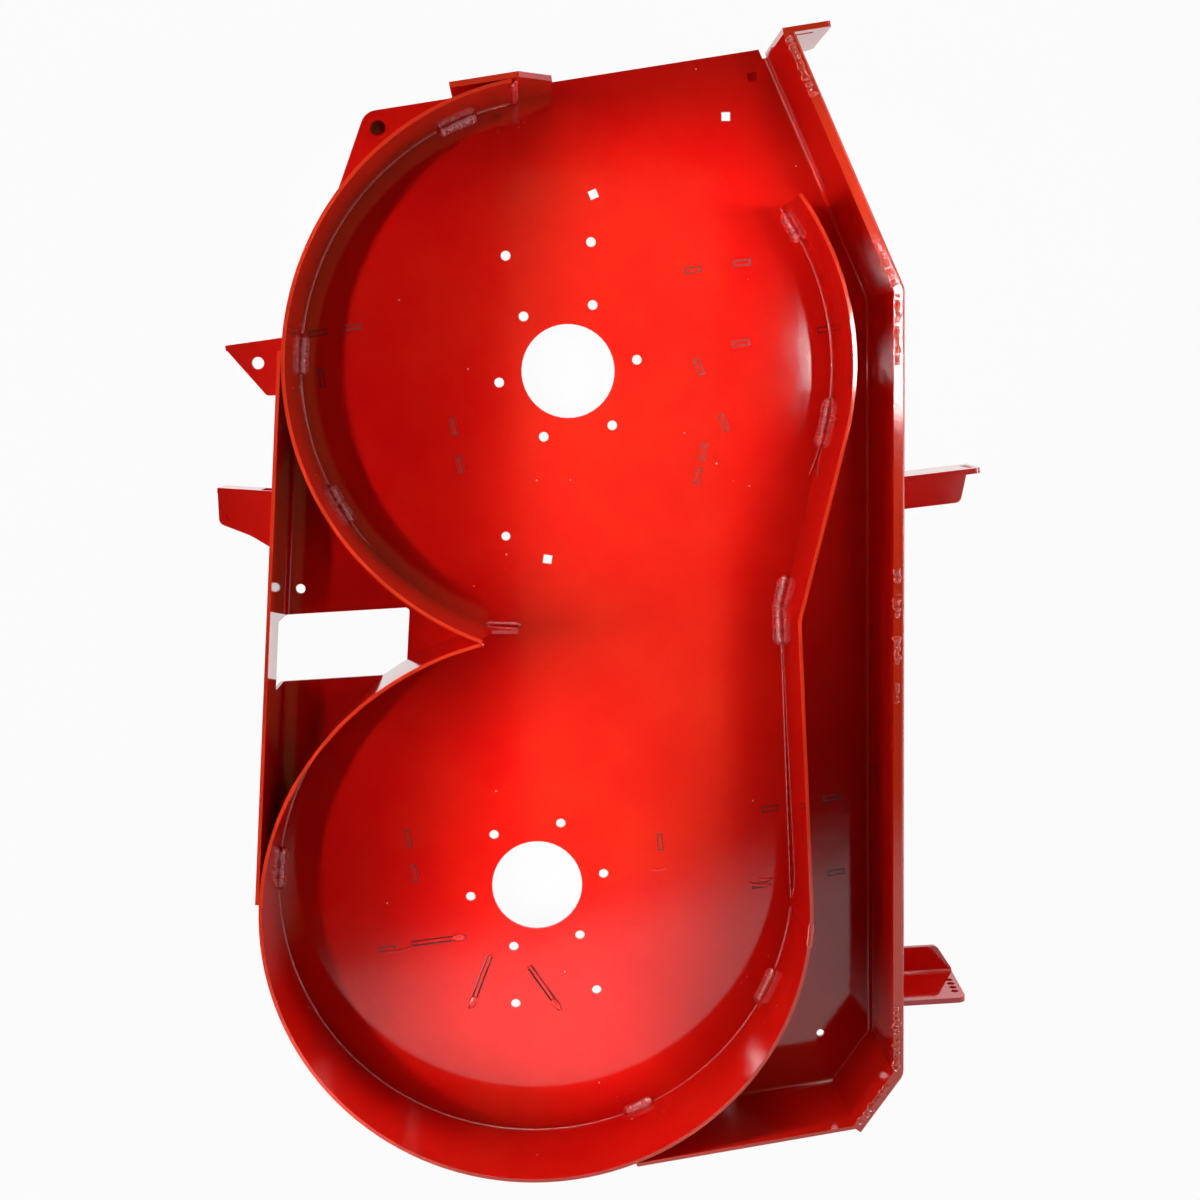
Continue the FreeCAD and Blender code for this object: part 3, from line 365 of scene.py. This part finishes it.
def coat_material(name, deep, light, peel=0.05, rough=0.07, grain=1.0, film=0.35):
    """Glossy red film: two reds mixed by noise, orange peel as bump, a few dust grains, a painted highlight
    on the rim tops.
    """
    material = bpy.data.materials.new(name)
    material.use_nodes = True
    tree = material.node_tree
    nodes, links = tree.nodes, tree.links
    shader = nodes["Principled BSDF"]
    place = nodes.new("ShaderNodeTexCoord")

    reds = nodes.new("ShaderNodeValToRGB")
    reds.color_ramp.elements[0].position = CLOUD_START
    reds.color_ramp.elements[0].color = (*deep, 1.0)
    reds.color_ramp.elements[1].position = CLOUD_END
    reds.color_ramp.elements[1].color = (*light, 1.0)
    links.new(noise_field(tree, place, CLOUD_SCALE, 5.0, rough=0.6), reds.inputs["Fac"])

    dust = nodes.new("ShaderNodeTexVoronoi")
    dust.inputs["Scale"].default_value = GRAIN_SCALE
    links.new(place.outputs["Object"], dust.inputs["Vector"])
    pick = nodes.new("ShaderNodeSeparateColor")
    links.new(dust.outputs["Color"], pick.inputs["Color"])
    near = combined(tree, "LESS_THAN", dust.outputs["Distance"], GRAIN_REACH * grain)
    few = combined(tree, "GREATER_THAN", pick.outputs["Red"], BARE_SHARE)
    dusty = painted(tree, reds.outputs["Color"], GRAIN_COLOUR, combined(tree, "MULTIPLY", near, few))

    level = nodes.new("ShaderNodeSeparateXYZ")
    links.new(place.outputs["Object"], level.inputs["Vector"])
    # The flat tops of the rims get the lighter orange red: a painted highlight for the unshaded light they
    # catch.
    rim_highlight_mask = combined(tree, "GREATER_THAN", level.outputs["Z"], RIM_LEVEL)
    links.new(painted(tree, dusty, RIM_HIGHLIGHT_RED, rim_highlight_mask), shader.inputs["Base Color"])

    fine = embossed(tree, noise_field(tree, place, PEEL_SCALE, 2.0), peel, 0.0006)
    broad = embossed(tree, noise_field(tree, place, WAVE_SCALE, 2.0), 0.08, 0.0012)
    links.new(fine.outputs["Normal"], broad.inputs["Normal"])
    links.new(broad.outputs["Normal"], shader.inputs["Normal"])

    shader.inputs["Roughness"].default_value = rough
    shader.inputs["Coat Weight"].default_value = film
    shader.inputs["Coat Roughness"].default_value = 0.05
    return material


red_coat = coat_material("red_powder_coat", deep=(0.77, 0.006, 0.004), light=(0.82, 0.014, 0.006))
weld_coat = coat_material(
    "red_coat_on_weld", deep=(0.74, 0.006, 0.005), light=(0.86, 0.03, 0.02), peel=0.6, rough=0.05, film=0.6
)
# A near-black red for the thin sheets round the rib tabs: painted shade in the slots.
slot_shade_coat = coat_material(
    "painted_shade_in_slots", deep=(0.03, 0.0005, 0.0005), light=(0.10, 0.001, 0.001), rough=0.35, grain=0.0
)
for node in DECK_NODES:
    piece = frame["nodes"][node]
    for slot in piece.material_slots:
        slot.material = red_coat
print("coated", len(DECK_NODES), "pieces")

# %% [markdown]
# ## Measures for the details
# Weld beads, spatter and paint seams follow the steel, so their places come from the frame: the spindle
# centres from its mounts, the wall radius and the rim from its boxes. The beads are worked in millimetres,
# which are easier to read than thousandths of a metre, and each finished mesh is scaled once at the end.

# %% Measures
MM = 0.001
UP = Vector((0, 0, 1))
mounts = {mount["name"]: Vector(mount["pos_m"]) / MM for mount in frame["record"]["mounts"]}
RIGHT = mounts["right_spindle_bore"]
LEFT = mounts["left_spindle_bore"]
shell_low, shell_high = (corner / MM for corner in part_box("deck_shell"))
SHEET = -shell_low.z
RIM = shell_high.z
FRONT_SEAM = shell_high.x
WALL = LEFT.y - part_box("left_chamber_wall")[0].y / MM - SHEET
print("chamber walls stand", round(WALL, 1), "mm from each spindle and", round(RIM, 1), "mm high")


def heading(angle):
    """Unit vector in the plate's plane."""
    turn = math.radians(angle)
    return Vector((math.cos(turn), math.sin(turn), 0))


def finished(name, mesh, coat):
    """Turns a mesh that was built in millimetres into a smooth piece of the deck."""
    bmesh.ops.recalc_face_normals(mesh, faces=mesh.faces)
    bmesh.ops.scale(mesh, verts=mesh.verts, vec=(MM, MM, MM))
    data = bpy.data.meshes.new(name)
    mesh.to_mesh(data)
    mesh.free()
    data.shade_smooth()
    data.materials.append(coat)
    piece = bpy.data.objects.new(name, data)
    bpy.context.scene.collection.objects.link(piece)
    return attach(piece, "root")


# %% [markdown]
# ## A weld bead
# A MIG bead is laid drop by drop, so it looks like a row of overlapping crescents, a little wider where the
# welder stops. We sweep a ring along the seam: the ring leans forward, which bends every ripple into a
# crescent, and its size swells and shrinks with the distance that it has travelled.

# %% Bead tools
BEAD_STEP = 0.6
BEAD_SIDES = 12
RIPPLE = 1.9
RIPPLE_LEAN = 0.9
RIPPLE_JITTER = 3.0
CREST_MIDDLE = 0.6
WIDTH_RIPPLE = 0.4            # of the ripple in the height
END_SIZE = 0.08               # square of the size of the first and last ring
END_SWELL = 0.14
WIDTH_DRIFT = 5.0             # lengths over which the width, the height and the line wander
HEIGHT_DRIFT = 3.0
LINE_DRIFT = 4.0


def arc_track(centre, start, end, reach, height, step=BEAD_STEP):
    """Places round a spindle axis, each with the direction that a corner weld faces there."""
    count = max(4, round(math.radians(abs(end - start)) * reach / step))
    angles = [start + (end - start) * i / count for i in range(count + 1)]
    return [(centre + heading(a) * reach + UP * height, (UP - heading(a)).normalized()) for a in angles]


def line_track(corners, away, step=BEAD_STEP):
    """Places along straight runs between corners, all facing the same way."""
    track = []
    for first, last in zip(corners, corners[1:]):
        count = max(2, round((last - first).length / step))
        track += [(first.lerp(last, i / count), away.normalized()) for i in range(count)]
    return track + [(corners[-1], away.normalized())]


def bead_ring(mesh):
    """The first ring of a bead: flat-topped, with a ridge on each shoulder."""
    ring = bmesh.ops.create_circle(mesh, segments=BEAD_SIDES, radius=1.0, cap_ends=False)["verts"]
    for vert in ring:
        across, rise = vert.co.x, vert.co.y
        if rise > 0:
            rise = min(1.0, 1.25 * rise) - 0.12 * (1 - abs(across))
        vert.co = (across, rise, RIPPLE_LEAN * rise)
    return list({edge for vert in ring for edge in vert.link_edges})


def lay_bead(mesh, track, half, bulge, seed=0.0, ripple=0.24, wander=0.2, weave=0.0):
    """Sweeps a ring along a track: half width, rise, ripples, drift of the size, drift to the sides."""
    edges = bead_ring(mesh)
    first_edges = edges
    travelled = [0.0]
    for (place, _), (following, _) in zip(track, track[1:]):
        travelled.append(travelled[-1] + (following - place).length)
    length = travelled[-1]
    pose = Matrix.Identity(4)
    for i, (place, away) in enumerate(track):
        gone = travelled[i]
        run = (track[min(i + 1, len(track) - 1)][0] - track[max(i - 1, 0)][0]).normalized()
        side = run.cross(away).normalized()
        out = side.cross(run)
        near_end = min(gone, length - gone) / half
        round_end = math.sqrt(max(END_SIZE, 1 - (1 - min(1.0, near_end)) ** 2))
        puddle = 1 + END_SWELL * math.exp(-(((length - gone) / half - 1.0) ** 2))
        drift = noise.noise((gone / WIDTH_DRIFT, seed, 0.0))
        rise = noise.noise((gone / HEIGHT_DRIFT, 0.0, seed))
        crest = abs(math.sin(math.pi * gone / RIPPLE + RIPPLE_JITTER * drift)) - CREST_MIDDLE
        wide = half * round_end * puddle * (1 + wander * drift + WIDTH_RIPPLE * ripple * crest)
        high = bulge * round_end * (1 + ripple * crest + wander * rise)
        turned = Matrix((side * wide, out * high, run)).transposed().to_4x4()
        strayed = place + side * weave * noise.noise((gone / LINE_DRIFT, seed, seed))
        next_pose = Matrix.Translation(strayed) @ turned
        if i:
            made = bmesh.ops.extrude_edge_only(mesh, edges=edges)["geom"]
            edges = [item for item in made if isinstance(item, bmesh.types.BMEdge)]
            edges = [edge for edge in edges if len(edge.link_faces) == 1]
        verts = list({vert for edge in edges for vert in edge.verts})
        bmesh.ops.transform(mesh, verts=verts, matrix=next_pose @ pose.inverted())
        pose = next_pose
    bmesh.ops.holes_fill(mesh, edges=first_edges + edges)


def lump(mesh, place, size, turn=0.0, rough=0.0):
    """A squashed ball: a spatter grain, or with some roughness the puddle that ends a weld."""
    turned = Matrix.Rotation(math.radians(turn), 4, "Z")
    shape = Matrix.Translation(place) @ turned @ Matrix.Diagonal((*size, 1))
    for vert in bmesh.ops.create_icosphere(mesh, subdivisions=2, radius=1.0, matrix=shape)["verts"]:
        vert.co += (vert.co - place) * rough * noise.noise(vert.co * 0.9)


print("a bead ring has", BEAD_SIDES, "sides and moves", BEAD_STEP, "mm at a time")

# %% [markdown]
# ## Short welds at the feet of the walls
# The chamber walls are stitched to the plate with short beads on the inside, one of them over the point where
# the two front baffles meet. One upright bead closes the start of the right chamber wall against the stop.

# %% Wall welds
CORNER_OFFSET = 2.4
FOOT_HALF = 5.3
FOOT_BULGE = 3.3
FOOT_WELDS = [
    (RIGHT, 117.6, 108.6),
    (RIGHT, 171.0, 179.5),
    (RIGHT, 204.2, 213.4),
    (RIGHT, 34.7, 28.0),
    (RIGHT, -7.1, -17.6),
    (LEFT, 178.8, 169.5),
    (LEFT, -30.5, -21.9),
    (LEFT, -71.1, -64.1),
]
foot_welds = bmesh.new()
for number, (spindle, start, end) in enumerate(FOOT_WELDS):
    track = arc_track(spindle, start, end, WALL - CORNER_OFFSET, CORNER_OFFSET)
    lay_bead(foot_welds, track, FOOT_HALF, FOOT_BULGE, seed=2.7 * number)

CUSP_HALF = 5.6
CUSP_BULGE = 3.4
CUSP_STEPS = ((3.4, 27, 3), (-2.6, 0, 3), (-1.6, -33, 3))
baffle_low, baffle_high = (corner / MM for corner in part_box("left_baffle"))
cusp = Vector((baffle_low.x, baffle_high.y, 0))
cusp_track = line_track([cusp + Vector(step) for step in CUSP_STEPS], Vector((-0.8, 0, 1)))
lay_bead(foot_welds, cusp_track, CUSP_HALF, CUSP_BULGE, seed=31.0, ripple=0.25)

WALL_START = 100.4
POST_HALF = 3.4
POST_BULGE = 2.6
POST_FOOT = 5
POST_HEAD = RIM - 6
start_post = RIGHT + heading(WALL_START - 0.3) * (WALL + 1.0)
post_run = [start_post + UP * POST_FOOT, start_post + UP * POST_HEAD]
post_track = line_track(post_run, -heading(WALL_START + 40))
lay_bead(foot_welds, post_track, POST_HALF, POST_BULGE, seed=44.0, ripple=0.3)
finished("wall_welds", foot_welds, weld_coat)
print(len(FOOT_WELDS) + 2, "wall welds")

# %% [markdown]
# ## The nose bar's seam
# The bar is stitched to the front wall along the rim, in runs of different length. The bead sinks into the
# seam, so only a wavy ribbon stands above the rim. A last short bead joins the left chamber wall to its
# baffle at the same height.

# %% Nose bar welds
SEAM_HALF = 3.1
SEAM_BULGE = 1.5
SEAM_SINK = 1.0
LAP_HALF = 2.6
SEAM_RIGHT_CORNER = Vector((FRONT_SEAM, 58.3, RIM))
SEAM_LEFT_CORNER = Vector((FRONT_SEAM, -602.6, RIM))
REAR_RIGHTWARD = heading(113.6)
LEFTWARD = heading(-90)
REAR_LEFTWARD = heading(-126.4)
SEAM_WELDS = [
    (SEAM_RIGHT_CORNER, REAR_RIGHTWARD, 166, 219),
    (SEAM_RIGHT_CORNER, REAR_RIGHTWARD, 2, 48),
    (SEAM_RIGHT_CORNER, LEFTWARD, 1, 60),
    (SEAM_RIGHT_CORNER, LEFTWARD, 224, 239),
    (SEAM_RIGHT_CORNER, LEFTWARD, 245, 268),
    (SEAM_RIGHT_CORNER, LEFTWARD, 281, 308),
    (SEAM_RIGHT_CORNER, LEFTWARD, 320, 340),
    (SEAM_RIGHT_CORNER, LEFTWARD, 600, 659),
    (SEAM_LEFT_CORNER, REAR_LEFTWARD, 9, 55),
]
seam_welds = bmesh.new()
for number, (corner, along, start, end) in enumerate(SEAM_WELDS):
    run = [corner + along * start - UP * SEAM_SINK, corner + along * end - UP * SEAM_SINK]
    track = line_track(run, UP)
    lay_bead(seam_welds, track, SEAM_HALF, SEAM_BULGE, 5.1 * number, ripple=0.10, wander=0.7, weave=1.6)
lap = arc_track(LEFT, -2.9, -8.1, WALL + SHEET / 2, RIM - SEAM_SINK)
lap = [(place, UP) for place, _ in lap]
lay_bead(seam_welds, lap, LAP_HALF, SEAM_BULGE, seed=61.0, ripple=0.10)
finished("nose_bar_welds", seam_welds, weld_coat)
print(len(SEAM_WELDS) + 1, "rim welds")

# %% [markdown]
# ## Paint along the seams, and painted shade in the slots
# Powder bridges the crack at the foot of a wall with a thin uneven fillet, which draws a fine broken line of
# light round each chamber. Round the tabs of the ribs, a thin near-black sheet over each slot is painted
# shade.

# %% Foot seams
SEAM_STEP = 1.6
SEAM_REACH = 0.95
FOOT_SEAMS = [
    (RIGHT, 101.0, 220.0),
    (RIGHT, 36.0, -24.0),
    (LEFT, 148.0, 353.0),
]
foot_seams = bmesh.new()
for number, (spindle, start, end) in enumerate(FOOT_SEAMS):
    track = arc_track(spindle, start, end, WALL, 0.0, step=SEAM_STEP)
    lay_bead(foot_seams, track, SEAM_REACH, SEAM_REACH, 9.0 + number, ripple=0.0, wander=0.9)
BAFFLE_FOOT = [Vector((190.6, -476.0, 0)), cusp]
baffle_track = line_track(BAFFLE_FOOT, Vector((-1, 0, 1)), SEAM_STEP)
lay_bead(foot_seams, baffle_track, SEAM_REACH, SEAM_REACH, 14.0, ripple=0.0, wander=0.9)
finished("foot_seams", foot_seams, weld_coat)
print(len(FOOT_SEAMS) + 1, "paint seams")

# %% Painted shade in the slots
OUTLINE_REACH = 0.95          # past the tab, over the crack and the plate's edge
OUTLINE_LAP = 0.15            # over the tab itself
OUTLINE_PROUD = 0.06
OUTLINE_THICKNESS = 0.4


def tab_tops(node):
    """Corner loops of the flat tops of a rib's tabs, in millimetres."""
    mesh = bmesh.new()
    mesh.from_mesh(frame["nodes"][node].data)
    bmesh.ops.remove_doubles(mesh, verts=mesh.verts, dist=1e-6)
    bmesh.ops.dissolve_limit(mesh, angle_limit=math.radians(1), verts=mesh.verts, edges=mesh.edges)
    tops = [f for f in mesh.faces if f.normal.z > 0.9 and f.calc_center_median().z > -SHEET * MM / 2]
    loops = [[vert.co / MM for vert in face.verts] for face in tops]
    mesh.free()
    return loops


RIB_NODES = [node for node in DECK_NODES if node.split("_")[0] in ("rib", "idler", "strut")]
# A thin dark sheet round each tab, over the slot's crack and the plate's edge: painted shade.
painted_slot_shade = bmesh.new()
outline_faces = []
for node in RIB_NODES:
    for loop in tab_tops(node):
        pairs = []
        for last, here, following in zip(loop[-1:] + loop[:-1], loop, loop[1:] + loop[:1]):
            spread = (here - last).normalized() + (here - following).normalized()
            outer = here + spread * OUTLINE_REACH
            outer.z = OUTLINE_PROUD
            inner = here - spread * OUTLINE_LAP + UP * OUTLINE_PROUD
            pairs.append((painted_slot_shade.verts.new(outer), painted_slot_shade.verts.new(inner)))
        for (outer, inner), (next_outer, next_inner) in zip(pairs, pairs[1:] + pairs[:1]):
            outline_faces.append(painted_slot_shade.faces.new((outer, next_outer, next_inner, inner)))
print(len(outline_faces) // 4, "tab slots")
bmesh.ops.recalc_face_normals(painted_slot_shade, faces=painted_slot_shade.faces)
bmesh.ops.solidify(painted_slot_shade, geom=outline_faces, thickness=OUTLINE_THICKNESS)
slot_piece = finished("painted_slot_shade", painted_slot_shade, slot_shade_coat)
slot_piece.data.shade_flat()

# %% [markdown]
# ## Puddles, spatter and heat marks
# Each long strut has a wrinkled puddle at one end and two small beads at the other. A narrow bead runs along
# the foot of the low tongue, and two small beads close the rear cusp at the rim. Fine grains of spatter stay
# near the welds at the feet of the walls and by the discharge edge, and the heat has raised thin crescents
# in the plate beside some of the ribs.

# %% Small marks
def strut_ends(node):
    """The middles of the short sides of a strut's tab, nearest to the left spindle first."""
    loop = tab_tops(node)[0]
    sides = sorted(zip(loop, loop[1:] + loop[:1]), key=lambda pair: (pair[0] - pair[1]).length)
    return sorted(((a + b) / 2 for a, b in sides[:2]), key=lambda end: (end - LEFT).length)


PUDDLE = (6.4, 3.4, 0.9)
PUDDLE_INSET = 4.0
DROP = (1.2, 1.2, 1.2)
DROP_APART = 1.5
STRUT_PUDDLE_END = {"strut_rear": 0, "strut_left": 1, "strut_right": 1}
puddles = bmesh.new()
for node, chosen in STRUT_PUDDLE_END.items():
    ends = strut_ends(node)
    end = ends[chosen]
    other = ends[1 - chosen]
    run = (other - end).normalized()
    turn = math.degrees(math.atan2(run.y, run.x))
    lump(puddles, end + run * PUDDLE_INSET + UP * (0.1 - end.z), PUDDLE, turn, rough=0.35)
    across = run.cross(UP)
    for offset in (-DROP_APART, DROP_APART):
        lump(puddles, other + across * offset + UP * (0.3 - other.z), DROP)

TONGUE = [Vector((-77.0, -217.9, 0.3)), Vector((-50.0, -219.3, 0.3))]
TONGUE_HALF = 1.7
TONGUE_BULGE = 1.4
tongue_track = line_track(TONGUE, Vector((0, 1, 1)))
lay_bead(puddles, tongue_track, TONGUE_HALF, TONGUE_BULGE, seed=71.0, ripple=0.35, wander=0.6)
TONGUE_BLOB = (2.0, 2.0, 2.0)
lump(puddles, TONGUE[1] + Vector((1.5, -1.0, 0.6)), TONGUE_BLOB)
RIM_BLOB = (1.4, 1.4, 1.4)
for shift in (0.0, 1.8):
    lump(puddles, Vector((-79.2 + shift, -221.0 - shift, RIM - 1.3)), RIM_BLOB)
finished("weld_puddles", puddles, weld_coat)

CRESCENTS = [
    [(64.7, -443.0), (70.6, -447.0), (76.9, -443.6)],
    [(-175.0, -512.8), (-163.0, -513.6), (-152.0, -509.6)],
    [(152.0, -459.6), (162.0, -463.6), (172.0, -461.4)],
    [(160.6, -456.2), (167.0, -457.6), (173.4, -456.0)],
]
CRESCENT_HALF = 1.6
CRESCENT_BULGE = 0.35
CRESCENT_STEP = 0.8
BOW_PARTS = 12
crescents = bmesh.new()
for number, points in enumerate(CRESCENTS):
    first, middle, last = (Vector((x, y, 0)) for x, y in points)
    shares = [part / BOW_PARTS for part in range(BOW_PARTS + 1)]
    bow = [first.lerp(middle, t).lerp(middle.lerp(last, t), t) for t in shares]
    track = line_track(bow, UP, step=CRESCENT_STEP)
    lay_bead(crescents, track, CRESCENT_HALF, CRESCENT_BULGE, seed=80.0 + number, ripple=0.0)
finished("heat_marks", crescents, red_coat)

SPATTER_PER_WELD = 12
CLIMBING_SHARE = 0.4          # of the grains, which stick to the wall
LOOSE_GRAINS = ((-36.9, 210.3), (-32.7, 210.2), (-37.1, 205.7))
LOOSE_SIZE = (0.8, 0.8, 0.8)
chance = random.Random(11)
spatter = bmesh.new()
for spindle, start, end in FOOT_WELDS:
    for _ in range(SPATTER_PER_WELD):
        angle = start + (end - start) * chance.uniform(-0.4, 1.4)
        grain = chance.uniform(0.3, 0.75)
        climbs = chance.random() < CLIMBING_SHARE
        reach = WALL - 0.1 if climbs else WALL - chance.uniform(8, 26)
        level = chance.uniform(8, 60) if climbs else 0.1
        lump(spatter, spindle + heading(angle) * reach + UP * level, (grain, grain, grain))
for place in LOOSE_GRAINS:
    lump(spatter, Vector((*place, 0.1)), LOOSE_SIZE)
finished("weld_spatter", spatter, weld_coat)
print(len(FOOT_WELDS) * SPATTER_PER_WELD + len(LOOSE_GRAINS), "grains of spatter")
